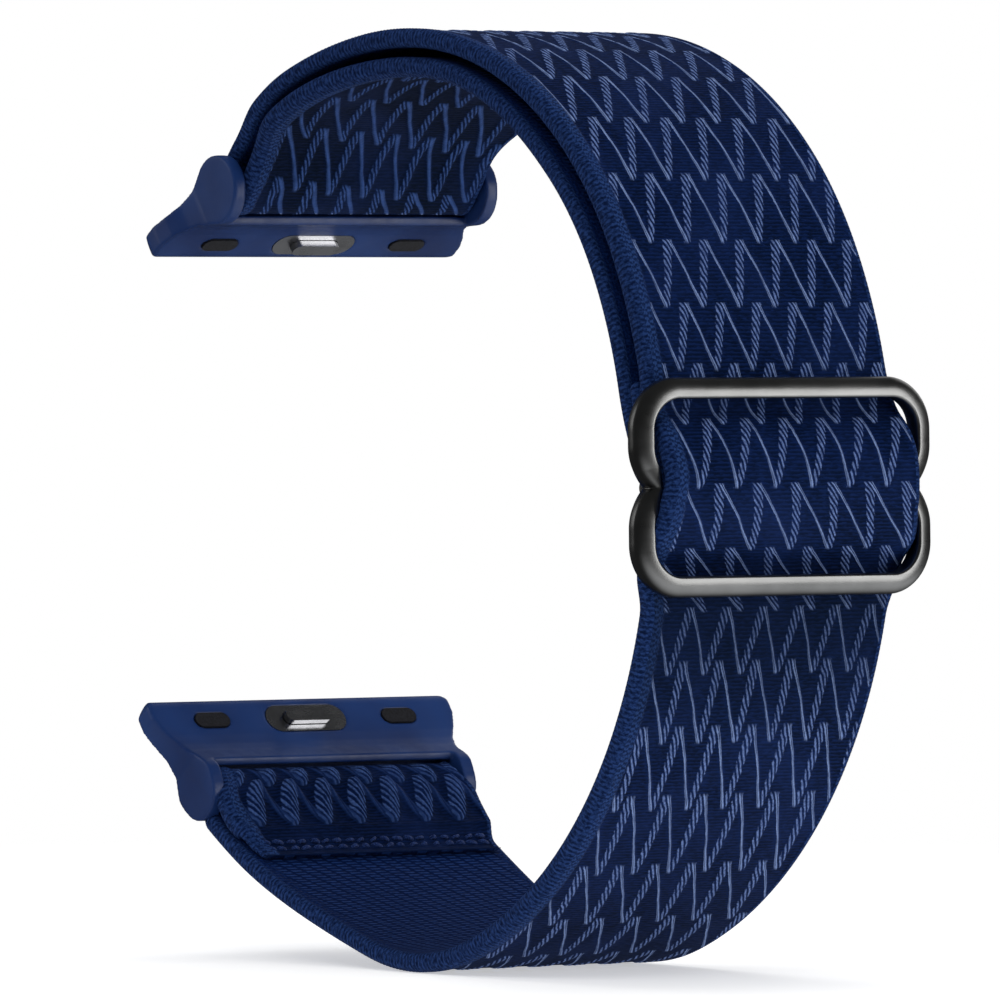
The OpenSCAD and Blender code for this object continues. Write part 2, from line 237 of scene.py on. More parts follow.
# ---------------------------------------------------------------------------------------------------------------
# the woven pattern. Each row of zigzag has a place, a height, a phase and a lean of its own, because the elastic
# webbing is drawn a little differently along its length. A falling leg is a thin thread, a rising one a rope of
# short strokes.
# ---------------------------------------------------------------------------------------------------------------
Q = 3.58               # pitch of the zigzag across the webbing
STROKES = 9            # strokes of thread in a rising leg
outer_rows = [(46.9, 6.9, 1.57, .15), (53.1, 7.3, .30, .3), (59.7, 6.8, 2.45, .98), (66.2, 6.0, 1.5, 1.7), (71.8, 5.7, 1.4, 1.95),
              (76.9, 5.4, 1.6, 1.2), (81.6, 6.3, 1.47, 1.13), (87.5, 5.9, .85, 4.43), (93.1, 5.7, 3.3, 5.78), (98.4, 5.7, .6, 2.4),
              (102.9, 7.3, .72, 3.6), (108.6, 8.2, 2.0, 3.9), (115.2, 9.0, 3.3, 4.6), (123.0, 8.7, 2.4, 5.3), (130.7, 8.0, 1.4, 4.7)]
rows = list(outer_rows)


def nested(phase, lean):
    """Phase of the row after one with this phase and lean: its peaks stand midway between the valleys above."""
    return (phase + lean + Q / 2) % Q


for u0, lean, h in ((138.2, 3.8, 8.0), (145.5, 3.0, 7.9), (152.8, 2.4, 7.9), (160.1, 1.9, 7.9), (167.3, 1.79, 7.8), (174.4, 1.79, 6.9)):
    rows.append((u0, h, nested(rows[-1][2], rows[-1][3]), lean))
rows.append((U_END + 1.2, 5.0, nested(rows[-1][2], rows[-1][3]), 1.4))
rows.append((U_TAB - 3.2, 5.1, .66, 3.0))
rows.append((U_TAB + 1.0, 5.2, 2.36, 1.9))
back = list(outer_rows[:1])
for u0, lean in ((41.0, .1), (35.4, .4), (29.0, .7), (23.0, 1.0), (17.0, 1.4), (10.8, 1.79), (4.6, 2.3), (-1.6, 3.0)):
    back.append((u0, (back[-1][0] - u0) * 1.1, (back[-1][2] - lean - Q / 2) % Q, lean))
in_rows = [(U_WRAP - 1.8, 6.9, 2.75, 4.3), (U_WRAP - 7.8, 7.1, 1.6, 3.35), (U_WRAP - 13.7, 7.5, 2.6, 5.0)]
back += in_rows
for k, (u0, lean) in enumerate(((-20.6, 5.2), (-27.6, 4.4), (-34.6, 3.4), (-41.7, 2.6), (-48.9, 2.4), (-55.8, 1.8), (-62.4, 1.79), (-68.8, 1.79), (-75.0, 1.79),
                                (-81.2, 1.79), (-87.3, 1.79))):
    u0 += U_WRAP
    back.append((u0, (back[-1][0] - u0) * 1.1, (back[-1][2] - lean - Q / 2) % Q, lean))
rows = back[:0:-1] + rows
ROWS = np.array(rows)
assert (np.diff(ROWS[:, 0]) > 0).all()


ROW_B = len(ROWS) - 1  # the tab's last row
CLOSER = 1.14          # on the tab the columns stand closer together


def skewed(u, v):
    """On the inner layer the rows run a little aslant."""
    return u - 0.115 * smooth01((U_WRAP + 1.0 - u) / 3.0) * (v - 12)


def row_of(u, v):
    return np.clip(np.searchsorted(ROWS[:, 0], skewed(u, v), side="right") - 1, 0, len(ROWS) - 1)


def row_map(u, v, k):
    """Coordinates in row k in which falling legs lie at whole xi and rising legs at whole eta; eta - xi is the place down the row."""
    u0, h, phase, lean = (ROWS[k, j] for j in range(4))
    t = (skewed(u, v) - u0) / h
    x = (np.where(k >= ROW_B - 1, 12 + (v - 12) * CLOSER, v) - phase) / Q
    lean = lean / Q
    return x - lean * t, x + (1 - lean) * t


def flare(u):
    """The relaxed webbing is a little wider next to each crossbar, and drawn in where it passes between the ears."""
    def bell(a, b, c, d):
        return smooth01((u - a) / (b - a)) * smooth01((d - u) / (d - c))
    return (1 + 0.09 * bell(U_WRAP - 26, U_WRAP - 12, U_WRAP - 9, U_WRAP - 4.0) + 0.055 * bell(4.0, 9, 11, 24)
            + 0.09 * bell(U_END - 24, U_END - 7, U_END - 2.6, U_END + 0.4) + 0.085 * bell(U_TAB - 0.4, U_TAB + 3.2, U_TAB + 4.6, U_TAB + 9.8)
            + 0.028 * bell(77, 82, 94, 99) + 0.018 * bell(78, 81, 84, 88) + 0.045 * bell(89.5, 93, 96, 99.5))


def near_flare(u):
    """In the lower ring of the buckle the webbing lies towards one side."""
    return 0.040 * smooth01((u - 86.6) / 3.0) * smooth01((95.5 - u) / 4.0)


def wob(u, v, seed=0.0):
    """A slow wander shared by the meshes."""
    return (0.5 * np.sin(u * 1.13 + v * 0.61 + seed) + 0.3 * np.sin(u * 0.47 - v * 1.27 + 1.7 + seed) + 0.2 * np.sin(u * 2.3 + v * 1.9 + 4 + seed))


def to_whole(x):
    return x - np.round(x)


def looks(u):
    """Shares of the inner layer's and the tab's look."""
    inner = smooth01((U_WRAP + 3.0 - u) / 3.0)
    tab = smooth01((u - (U_END + 0.5)) / 2.5)
    return inner, tab


def relief(u, v):
    inner, tab = looks(u)
    total = np.zeros_like(u)
    t_ut = u - U_TAB
    fade_tab = 1 - smooth01((t_ut - 6.0) / 0.5)
    swell = tab * smooth01((t_ut + 1.2) / 1.8)
    for prev in (0, 1):
        k = np.maximum(row_of(u, v) - prev, 0)
        xi, eta = row_map(u, v, k)
        t = eta - xi
        h = ROWS[k, 1]
        lean = ROWS[k, 3]
        inside = smooth01((t + 0.01) / 0.07) * smooth01((1.03 - t) / 0.09)
        ca, cb = h / np.hypot(h, lean), h / np.hypot(h, Q - lean)
        w1 = 0.016 * wob(u, v)
        d = np.abs(to_whole(xi + w1)) * Q * ca
        e = to_whole(eta + 0.6 * w1) * Q * cb
        oval = np.clip(4 * t * (1 - t), 0.0, 1.0) ** 0.34       # on the tab a roped leg is an oval knot
        sig_a = 0.075 + 0.08 * inner + 0.22 * swell
        amp_a = 0.085 + 0.11 * inner + 0.10 * swell
        a = amp_a * np.exp(-0.5 * (d / sig_a) ** 2.6)
        sig_b = (0.24 + 0.05 * inner) * (1 - swell) + swell * (0.10 + 0.56 * oval)
        amp_b = (0.10 + 0.11 * inner) * (1 - swell) + swell * 0.62 * oval ** 0.9
        stroke = 0.5 + 0.5 * np.cos(2 * math.pi * (STROKES - 2 * (swell > 0.5)) * (xi + w1))
        b = amp_b * np.exp(-0.5 * (np.abs(e) / sig_b) ** 2.4) * (0.62 + 0.12 * swell + (0.38 - 0.12 * swell) * stroke)
        total = np.maximum(total, np.maximum(a, b) * inside)
    edge = smooth01((v - 1.3) / 0.5) * smooth01((23.6 - v) / 0.35)
    total = total * edge * (fade_tab * tab + (1 - tab)) * (1 - 0.8 * turning(u, 0.9 + 1.1 * inner) * (1 - swell))
    selv = 1 - edge
    knit = 0.5 + 0.5 * np.cos(2 * math.pi * (u / 0.46 + 0.5 * np.floor(v / 0.42))) * np.cos(2 * math.pi * v / 0.42)
    total = total + selv * (0.05 + 0.05 * inner + 0.045 * knit) * (1 - 0.65 * turning(u, 1.6))
    # ground between the legs: a shallow dome
    total = total - (0.075 + 0.05 * inner + 0.12 * tab * fade_tab) * (1 - selv)
    # the tab's pressed groove, and the small bumps on its flange
    groove = np.exp(-0.5 * ((t_ut - 6.95) / 0.5) ** 2) * smooth01((v - 0.8) / 0.8) * smooth01((23.2 - v) / 0.8)
    total = total - 0.22 * groove * tab
    bump = np.exp(-0.5 * ((t_ut - 8.75) / 0.22) ** 2) * (0.5 + 0.5 * np.sin(v * 5.1 + 1.3 * np.sin(v * 1.7))) * smooth01((v - 1) / 0.5)
    return total + 0.09 * bump * tab * smooth01((U_LAST - u - 0.25) / 0.4)


# ---------------------------------------------------------------------------------------------------------------
# meshes
# ---------------------------------------------------------------------------------------------------------------
def section(nf=190, ne=11, nb=44):
    """The webbing's section as a loop: across (mm), depth as a share of the thickness, the place v round the pattern side, and which side."""
    re, p = 0.62, 2.3
    y0 = HALF_W - re
    front = np.linspace(-y0, y0, nf)
    th = np.linspace(0, math.pi, ne + 2)[1:-1]
    ey = np.sign(np.sin(th)) * np.abs(np.sin(th)) ** (2 / p) * re
    ed = 0.5 - 0.5 * np.sign(np.cos(th)) * np.abs(np.cos(th)) ** (2 / p)
    backy = np.linspace(y0, -y0, nb)
    y = np.r_[front, y0 + ey, backy, -y0 - ey[::-1]]
    dep = np.r_[np.zeros(nf), ed, np.ones(nb), ed[::-1]]
    side = np.r_[np.zeros(nf), np.ones(ne), np.full(nb, 2.0), np.ones(ne)]
    ev = np.linspace(0, 1, ne + 2)[1:-1]
    v = np.r_[front + HALF_W, HALF_W + y0 + ev * 1.5, backy + HALF_W, HALF_W - y0 - ev[::-1] * 1.5]
    return y, dep, side, v


SEC = section()


def webbing(name, u0, u1, du=0.13, mats=()):
    y, dep, side, v = SEC
    K = len(y)
    n = max(4, int(round((u1 - u0) / du)) + 1)
    us = np.linspace(u0, u1, n)
    cx, cz = np.interp(us, U_ALL, px), np.interp(us, U_ALL, pz)
    ex, ez = np.interp(us, U_ALL, nx), np.interp(us, U_ALL, nz)
    el = np.hypot(ex, ez)
    ex, ez = ex / el, ez / el
    th = np.interp(us, U_ALL, thick)
    Ug, Vg = np.meshgrid(us, v, indexing="ij")

    def build(us_, du_=0.0):
        cx_, cz_ = np.interp(us_, U_ALL, px), np.interp(us_, U_ALL, pz)
        ex_, ez_ = np.interp(us_, U_ALL, nx), np.interp(us_, U_ALL, nz)
        th_ = np.interp(us_, U_ALL, thick)
        U2 = np.repeat(us_[:, None], K, 1)
        front = (side == 0)
        H = np.zeros((len(us_), K))
        H[:, front] = relief(U2[:, front], np.repeat(v[None, front], len(us_), 0))
        # knit grain on the edges
        em = side == 1
        ph = np.where(y[em] > 0, 0.0, 0.37)
        H[:, em] = 0.022 * np.cos(2 * math.pi * (U2[:, em] / 0.46 + 4.6 * dep[em] + ph)) * np.sin(math.pi * np.clip(dep[em], 0, 1))
        end = np.minimum(np.abs(us_ - U_FIRST), np.abs(us_ - U_LAST))
        H *= smooth01((end - 0.1) / 0.6)[:, None]
        centre = smooth01(1 - (dep - 0) / 1.0)
        # a front point moves out by H; an edge point moves sideways and out
        depth = -dep[None, :] * th_[:, None]
        ny = np.where(side == 1, np.sign(y), 0.0)
        out = np.where(side == 1, 0.0, 1.0) * np.where(side == 2, -1.0, 1.0)
        nn = depth + H * out[None, :]
        yy = y[None, :] + H * ny[None, :]
        wide = flare(us_)
        wide = wide[:, None] + near_flare(us_)[:, None] * smooth01(-yy / 7)
        return np.stack([cx_[:, None] + ex_[:, None] * nn, yy * wide, cz_[:, None] + ez_[:, None] * nn], 2)

    P = build(us)
    lo, hi = build(np.maximum(us - 0.03, U_FIRST)), build(np.minimum(us + 0.03, U_LAST))
    du_vec = hi - lo
    dv_vec = np.roll(P, -1, 1) - np.roll(P, 1, 1)
    N = np.cross(dv_vec, du_vec)
    N /= np.maximum(np.linalg.norm(N, axis=2, keepdims=True), 1e-12)
    co = P.copy()
    co[:, :, 0] += OFF[0]
    co[:, :, 2] += OFF[1]
    co = co.reshape(-1, 3) / 1000.0

    j, i = np.meshgrid(np.arange(K), np.arange(n - 1))
    a = i * K + j
    b = i * K + (j + 1) % K
    quads = np.stack([a, b, b + K, a + K], 2).reshape(-1, 4)
    # which way round
    c0 = co[quads[:, :3]]
    f0 = np.cross(c0[:, 1] - c0[:, 0], c0[:, 2] - c0[:, 0])
    nvert = N.reshape(-1, 3)
    flip = (f0 * nvert[quads[:, 0]]).sum(1).mean() < 0
    outward = np.stack([np.interp(us, U_ALL, nx), np.zeros(n), np.interp(us, U_ALL, nz)], 1)
    mid = SEC_FRONT_MID
    if (N[:, mid] * outward).sum(1).mean() < 0:
        N, nvert, flip = -N, -nvert, not flip
    quad_col = np.tile(np.arange(K), n - 1)
    quad_row = np.repeat(np.arange(n - 1), K)
    order = np.array([0, 1, 2, 3])
    if flip:
        quads = quads[:, ::-1]
        order = order[::-1]
    caps = []
    nfr, ne = (side == 0).sum(), 0
    # caps: a ladder between the pattern side and the back
    front_idx = np.where(side == 0)[0]
    ring = np.arange(K)
    h = K // 2
    for r, rev in ((0, False), (n - 1, True)):
        base = r * K
        # pair columns from the left edge's middle to the right edge's middle
        top, bot = CAP_PAIRS
        q = []
        for x in range(len(top) - 1):
            f = [base + top[x], base + top[x + 1], base + bot[x + 1], base + bot[x]]
            f = [g for g_i, g in enumerate(f) if g not in f[:g_i]]
            if len(f) > 2:
                q.append(f)
        caps.append((r, q))
    # orient the caps outward along the strap
    tang = np.stack([np.gradient(cx), np.zeros(n), np.gradient(cz)], 1)
    cap_faces = []
    for r, q in caps:
        want = -tang[0] if r == 0 else tang[-1]
        for f in q:
            nrm = np.cross(co[f[1]] - co[f[0]], co[f[2]] - co[f[0]])
            cap_faces.append(f if (nrm @ want) > 0 else f[::-1])
    loops = np.concatenate([quads.ravel(), np.array([x for f in cap_faces for x in f], int)])
    totals = np.r_[np.full(len(quads), 4), [len(f) for f in cap_faces]].astype(np.int32)
    starts = np.r_[0, np.cumsum(totals)[:-1]].astype(np.int32)
    me = bpy.data.meshes.new(name)
    me.vertices.add(len(co))
    me.vertices.foreach_set("co", co.astype(np.float32).ravel())
    me.loops.add(len(loops))
    me.loops.foreach_set("vertex_index", loops.astype(np.int32))
    me.polygons.add(len(totals))
    me.polygons.foreach_set("loop_start", starts)
    me.polygons.foreach_set("loop_total", totals)
    me.update(calc_edges=True)
    # UV maps
    nq = len(quads)
    du_i = np.array([0, 0, 1, 1])[order]
    dj_i = np.array([0, 1, 1, 0])[order]
    uq = us[quad_row[:, None] + du_i[None, :]]
    per = np.r_[0, np.cumsum(np.full(K, 1.0))]
    colp = quad_col[:, None] + dj_i[None, :]
    v_ext = np.r_[v, v[0]]
    vq = v_ext[colp]
    kk = row_of((uq.min(1) + uq.max(1)) / 2, (vq.min(1) + vq.max(1)) / 2)[:, None]
    xi, eta = row_map(uq, vq, kk)
    xi0, eta0 = row_map(uq, vq, np.maximum(kk - 1, 0))
    peri = np.r_[0, np.cumsum(np.hypot(np.diff(np.r_[y, y[0]]), np.diff(np.r_[dep, dep[0]]) * 1.5))]
    size = max(peri[-1], u1 - u0) * 1.02
    bake = np.stack([(uq - u0) / size + 0.005, peri[colp] / size + 0.005], 2)

    def put(layer_name, data, fill):
        layer = me.uv_layers.new(name=layer_name, do_init=False)
        full = np.empty((len(loops), 2), np.float32)
        full[:nq * 4] = data.reshape(-1, 2)
        full[nq * 4:] = fill
        layer.data.foreach_set("uv", full.ravel())

    put("OFBake", bake, (0.999, 0.999))
    put("weave", np.stack([uq, vq], 2), (0, 12))
    put("row", np.stack([xi, eta], 2), (0.5, 5.5))
    put("prev", np.stack([xi0, eta0], 2), (0.5, 5.5))
    mi = np.zeros(len(totals), np.int32)
    inner_q, tab_q = looks(us[quad_row] + du / 2)
    sq = side[quad_col]
    sq2 = side[(quad_col + 1) % K]
    m_front = np.where(tab_q > 0.5, 2, np.where(inner_q > 0.5, 1, 0))
    mi[:nq] = np.where((sq == 0) & (sq2 == 0), m_front, np.where((sq == 2) & (sq2 == 2), 4, 3))
    mi[nq:] = 3
    me.polygons.foreach_set("material_index", mi)
    me.polygons.foreach_set("use_smooth", np.ones(len(totals), bool))
    for m_ in mats:
        me.materials.append(m_)
    me.validate(clean_customdata=False)
    me.normals_split_custom_set_from_vertices(nvert.astype(np.float32))
    ob = bpy.data.objects.new(name, me)
    scene.collection.objects.link(ob)
    return ob


_y, _dep, _side, _v = SEC
SEC_FRONT_MID = int(np.where(_side == 0)[0][(_side == 0).sum() // 2])
_K = len(_y)
_nf, _ne, _nb = int((_side == 0).sum()), int((_side == 1).sum() // 2), int((_side == 2).sum())
# ladder from the left edge's middle column over the pattern side to the right edge's middle, paired with the other way round the back
_lm = _nf + _ne + _nb + _ne // 2            # middle of the left edge
_rm = _nf + _ne // 2                        # middle of the right edge
_top = [(_lm + k) % _K for k in range((_rm - _lm) % _K + 1)]
_bot = [(_lm - k) % _K for k in range((_lm - _rm) % _K + 1)]
_bot_y = _y[_bot]
_pair = [int(np.argmin(np.abs(np.arange(len(_bot)) - (len(_bot) - 1) * x / (len(_top) - 1)))) if x in (0, len(_top) - 1)
         else int(np.argmin(np.abs(_bot_y - _y[_top[x]]))) for x in range(len(_top))]
_pair = np.maximum.accumulate(_pair)
CAP_PAIRS = (_top, [_bot[x] for x in _pair])


# ---------------------------------------------------------------------------------------------------------------
# node materials
# ---------------------------------------------------------------------------------------------------------------
def lin(r, g, b):
    f = lambda c: (c / 255 / 12.92) if c <= 10 else ((c / 255 + 0.055) / 1.055) ** 2.4
    return (f(r), f(g), f(b), 1.0)


class Net:
    def __init__(self, name):
        self.m = bpy.data.materials.new(name)
        self.m.use_nodes = True
        self.t = self.m.node_tree
        self.n = self.t.nodes
        self.bsdf = self.n["Principled BSDF"]

    def link(self, a, b):
        self.t.links.new(a, b)

    def put(self, sock, val):
        if isinstance(val, bpy.types.NodeSocket):
            self.link(val, sock)
        else:
            sock.default_value = val

    def math(self, op, *args, clamp=False):
        n = self.n.new("ShaderNodeMath")
        n.operation = op
        n.use_clamp = clamp
        for k, a in enumerate(args):
            self.put(n.inputs[k], a)
        return n.outputs[0]

    def add(self, a, b): return self.math("ADD", a, b)
    def sub(self, a, b): return self.math("SUBTRACT", a, b)
    def mul(self, a, b): return self.math("MULTIPLY", a, b)
    def div(self, a, b): return self.math("DIVIDE", a, b)
    def maxi(self, a, b): return self.math("MAXIMUM", a, b)

    def smooth(self, x, lo, hi, a=0.0, b=1.0):
        n = self.n.new("ShaderNodeMapRange")
        n.interpolation_type = "SMOOTHSTEP"
        self.put(n.inputs["Value"], x)
        self.put(n.inputs["From Min"], lo)
        self.put(n.inputs["From Max"], hi)
        self.put(n.inputs["To Min"], a)
        self.put(n.inputs["To Max"], b)
        return n.outputs[0]

    def to_whole(self, x):
        return self.sub(self.math("FRACT", self.add(x, 0.5)), 0.5)

    def uv(self, name):
        n = self.n.new("ShaderNodeUVMap")
        n.uv_map = name
        s = self.n.new("ShaderNodeSeparateXYZ")
        self.link(n.outputs[0], s.inputs[0])
        return s.outputs[0], s.outputs[1]

    def vec(self, x, y, z=0.0):
        n = self.n.new("ShaderNodeCombineXYZ")
        for k, a in enumerate((x, y, z)):
            self.put(n.inputs[k], a)
        return n.outputs[0]

    def noise(self, vec, scale=1.0, detail=2.0, rough=0.5):
        n = self.n.new("ShaderNodeTexNoise")
        n.inputs["Scale"].default_value = scale
        n.inputs["Detail"].default_value = detail
        n.inputs["Roughness"].default_value = rough
        self.link(vec, n.inputs["Vector"])
        return n.outputs[0]

    def mix(self, f, a, b):
        n = self.n.new("ShaderNodeMix")
        n.data_type = "RGBA"
        self.put(n.inputs[0], f)
        self.put(n.inputs[6], a)
        self.put(n.inputs[7], b)
        return n.outputs[2]

    def bump(self, height, dist, strength=1.0, normal=None):
        n = self.n.new("ShaderNodeBump")
        n.inputs["Distance"].default_value = dist
        n.inputs["Strength"].default_value = strength
        self.link(height, n.inputs["Height"])
        if normal is not None:
            self.link(normal, n.inputs["Normal"])
        return n.outputs[0]

    def obj(self):
        n = self.n.new("ShaderNodeTexCoord")
        return n.outputs["Object"]


def wob_nodes(g, u, v):
    s = lambda a, b, c: g.math("SINE", g.add(g.add(g.mul(u, a), g.mul(v, b)), c))
    return g.add(g.add(g.mul(s(1.13, 0.61, 0.0), 0.5), g.mul(s(0.47, -1.27, 1.7), 0.3)), g.mul(s(2.3, 1.9, 4.0), 0.2))


def front_material(name, look):
    """The pattern side: ground, thin falling threads, roped rising legs and a grainy selvedge."""
    g = Net(name)
    u, v = g.uv("weave")
    P = {
        "outer": dict(g0=lin(1, 12, 40), g1=lin(8, 28, 72), thread=lin(126, 148, 196), rope=lin(106, 129, 182), tw=0.066, rw=0.36, t_amt=1.0, r_amt=1.0),
        "inner": dict(g0=lin(0, 8, 28), g1=lin(4, 18, 50), thread=lin(52, 80, 138), rope=lin(58, 86, 144), tw=0.17, rw=0.36, t_amt=0.95, r_amt=0.95),
        "tab": dict(g0=lin(1, 10, 36), g1=lin(7, 24, 62), thread=lin(30, 52, 100), rope=lin(66, 92, 148), tw=0.34, rw=0.92, t_amt=0.8, r_amt=0.95),
    }[look]
    w1 = g.mul(wob_nodes(g, u, v), 0.016)
    fine = g.noise(g.vec(g.mul(u, 3.2), g.mul(v, 3.2)), 1.0, 3.0, 0.6)
    fine2 = g.noise(g.vec(g.mul(u, 1.1), g.mul(v, 1.1), 7.3), 1.0, 2.0, 0.5)
    thread_m, rope_m, near_m = None, None, None
    for which in ("row", "prev"):
        xi, eta = g.uv(which)
        t = g.sub(eta, xi)
        ins = g.mul(g.smooth(t, -0.01, 0.05), g.smooth(t, 0.97, 1.03, 1.0, 0.0))
        jit = g.mul(g.sub(fine, 0.5), 0.030)
        xw = g.add(g.add(xi, w1), jit)
        d = g.mul(g.math("ABSOLUTE", g.to_whole(xw)), Q * 0.93)
        tw = P["tw"]
        one = g.smooth(d, tw * 0.55, tw * 1.35, 1.0, 0.0)
        up = g.sub(1.0, t)
        spread = g.add(g.mul(g.mul(up, up), 0.055), 0.016)
        d2 = g.mul(g.math("ABSOLUTE", g.to_whole(g.sub(xw, spread))), Q * 0.93)
        two = g.mul(g.smooth(d2, tw * 0.35, tw * 1.1, 1.0, 0.0), g.smooth(t, 0.35, 0.75, 0.75, 0.12))
        low = g.add(g.mul(g.mul(t, t), 0.035), 0.012)
        d3 = g.mul(g.math("ABSOLUTE", g.to_whole(g.add(xw, low))), Q * 0.93)
        three = g.mul(g.smooth(d3, tw * 0.3, tw * 1.0, 1.0, 0.0), g.smooth(t, 0.45, 0.85, 0.0, 0.7))
        th = g.maxi(one, g.maxi(two, three)) if look != "tab" else one
        th = g.mul(th, ins)
        if look == "tab":
            ply = g.math("COSINE", g.mul(g.add(g.div(g.mul(g.to_whole(xw), Q * 0.93), 0.46), g.mul(t, 2.2)), 2 * math.pi))
            th = g.mul(th, g.smooth(ply, -0.8, 0.5, 0.35, 1.0))
        e = g.mul(g.to_whole(g.add(eta, g.mul(w1, 0.6))), Q * 0.93)
        ae = g.math("ABSOLUTE", e)
        if look == "tab":
            oval = g.math("POWER", g.maxi(g.mul(g.mul(t, up), 4.0), 0.0), 0.34)
            wid = g.add(g.mul(oval, 0.84), g.mul(g.sub(fine, 0.5), 0.22))
        else:
            wid = g.add(g.add(P["rw"] * 0.72, g.mul(up, P["rw"] * 0.42)), g.mul(g.sub(fine, 0.5), 0.34))
        col = g.smooth(g.sub(ae, wid), -0.07, 0.07, 1.0, 0.0)
        ww = g.add(g.mul(g.add(xi, w1), STROKES - 2 if look == "tab" else STROKES), g.mul(g.sub(fine2, 0.5), 0.8))
        st = g.smooth(g.math("ABSOLUTE", g.to_whole(ww)), 0.13, 0.33, 1.0, 0.0)
        rp = g.mul(g.mul(g.mul(col, st), ins), g.smooth(fine, 0.30, 0.62, 0.38, 1.0))
        nr = g.mul(g.maxi(g.smooth(d, 0.1, 0.5, 1.0, 0.0), col), ins)
        thread_m = th if thread_m is None else g.maxi(thread_m, th)
        rope_m = rp if rope_m is None else g.maxi(rope_m, rp)
        near_m = nr if near_m is None else g.maxi(near_m, nr)
    # ground: fine dark dashes across the webbing
    dash = g.noise(g.vec(g.mul(u, 5.2), g.mul(v, 1.35), 3.1), 1.0, 2.5, 0.62)
    rib = g.math("SINE", g.add(g.mul(u, 2 * math.pi / 0.34), g.mul(dash, 7.0)))
    ground = g.mix(g.smooth(g.add(g.mul(rib, 0.13), dash), 0.36, 0.70), P["g0"], P["g1"])
    # selvedge: knitted grain
    su = g.math("SINE", g.add(g.mul(u, 2 * math.pi / 0.46), g.mul(g.math("FLOOR", g.div(v, 0.42)), math.pi)))
    sv = g.math("SINE", g.mul(v, 2 * math.pi / 0.42))
    grain = g.noise(g.vec(g.mul(u, 4.4), g.mul(v, 4.0), 11.0), 1.0, 3.0, 0.65)
    knit = g.add(g.mul(g.mul(su, sv), 0.16), grain)
    selv = g.mix(g.smooth(knit, 0.36, 0.66), lin(10, 25, 60), lin(38, 64, 116))
    edge = g.mul(g.smooth(g.add(v, g.mul(g.sub(fine, 0.5), 0.35)), 1.35, 1.75), g.smooth(g.add(v, g.mul(g.sub(fine, 0.5), 0.3)), 23.35, 23.65, 1.0, 0.0))
    region = edge
    if look == "tab":
        flat_from = U_TAB + 5.9
        region = g.mul(edge, g.smooth(u, flat_from, flat_from + 0.7, 1.0, 0.0))
    col = g.mix(g.mul(g.mul(near_m, region), 0.22), ground, lin(20, 40, 92))
    col = g.mix(g.mul(g.mul(rope_m, region), P["r_amt"]), col, P["rope"])
    tv = g.mul(g.smooth(fine2, 0.25, 0.7, 0.6, 1.0), P["t_amt"])
    col = g.mix(g.mul(g.mul(thread_m, region), tv), col, P["thread"])
    col = g.mix(g.sub(1.0, edge), col, selv)
    tone = g.noise(g.vec(g.mul(u, 0.14), g.mul(v, 0.14), 5.0), 1.0, 2.0, 0.5)
    col = g.mix(g.smooth(tone, 0.35, 0.75, 0.0, 0.16), col, lin(34, 56, 116))
    if look == "outer":
        # painted shade: the webbing just below the buckle is darkened towards navy-black, standing in for the buckle's
        # shadow; it stays in the colour under any light
        below = g.mul(g.smooth(u, 95.5, 98.0), g.smooth(u, 100.0, 113.0, 1.0, 0.0))
        col = g.mix(g.mul(below, 0.5), col, lin(0, 8, 28))
    g.link(col, g.bsdf.inputs["Base Color"])
    rough = g.smooth(g.add(g.mul(thread_m, 0.6), dash), 0.3, 1.2, 0.82, 0.56)
    g.link(rough, g.bsdf.inputs["Roughness"])
    hgt = g.add(g.add(g.mul(g.maxi(thread_m, rope_m), region), g.mul(rib, 0.16)), g.mul(g.mul(g.sub(1.0, edge), knit), 1.0))
    g.link(g.bump(hgt, 0.00005, 0.85), g.bsdf.inputs["Normal"])
    g.bsdf.inputs["Sheen Weight"].default_value = 0.02
    g.bsdf.inputs["Sheen Roughness"].default_value = 0.45
    g.bsdf.inputs["Sheen Tint"].default_value = (0.35, 0.5, 1.0, 1.0)
    g.bsdf.inputs["Specular Tint"].default_value = (0.4, 0.65, 1.0, 1.0)
    g.bsdf.inputs["Specular IOR Level"].default_value = 0.12
    return g.m


def edge_material():
    g = Net("webbing_edge")
    u, v = g.uv("weave")
    su = g.math("SINE", g.add(g.mul(u, 2 * math.pi / 0.46), g.mul(v, 3.0)))
    grain = g.noise(g.vec(g.mul(u, 4.6), g.mul(v, 3.4), 2.0), 1.0, 3.0, 0.65)
    f = g.add(g.mul(su, 0.06), grain)
    g.link(g.mix(g.smooth(f, 0.36, 0.68), lin(10, 24, 56), lin(36, 60, 112)), g.bsdf.inputs["Base Color"])
    g.link(g.bump(f, 0.00007, 0.8), g.bsdf.inputs["Normal"])
    g.link(g.smooth(grain, 0.3, 0.8, 0.85, 0.65), g.bsdf.inputs["Roughness"])
    g.bsdf.inputs["Sheen Weight"].default_value = 0.02
    g.bsdf.inputs["Sheen Roughness"].default_value = 0.5
    g.bsdf.inputs["Sheen Tint"].default_value = (0.35, 0.5, 1.0, 1.0)
    g.bsdf.inputs["Specular Tint"].default_value = (0.4, 0.65, 1.0, 1.0)
    g.bsdf.inputs["Specular IOR Level"].default_value = 0.06
    return g.m


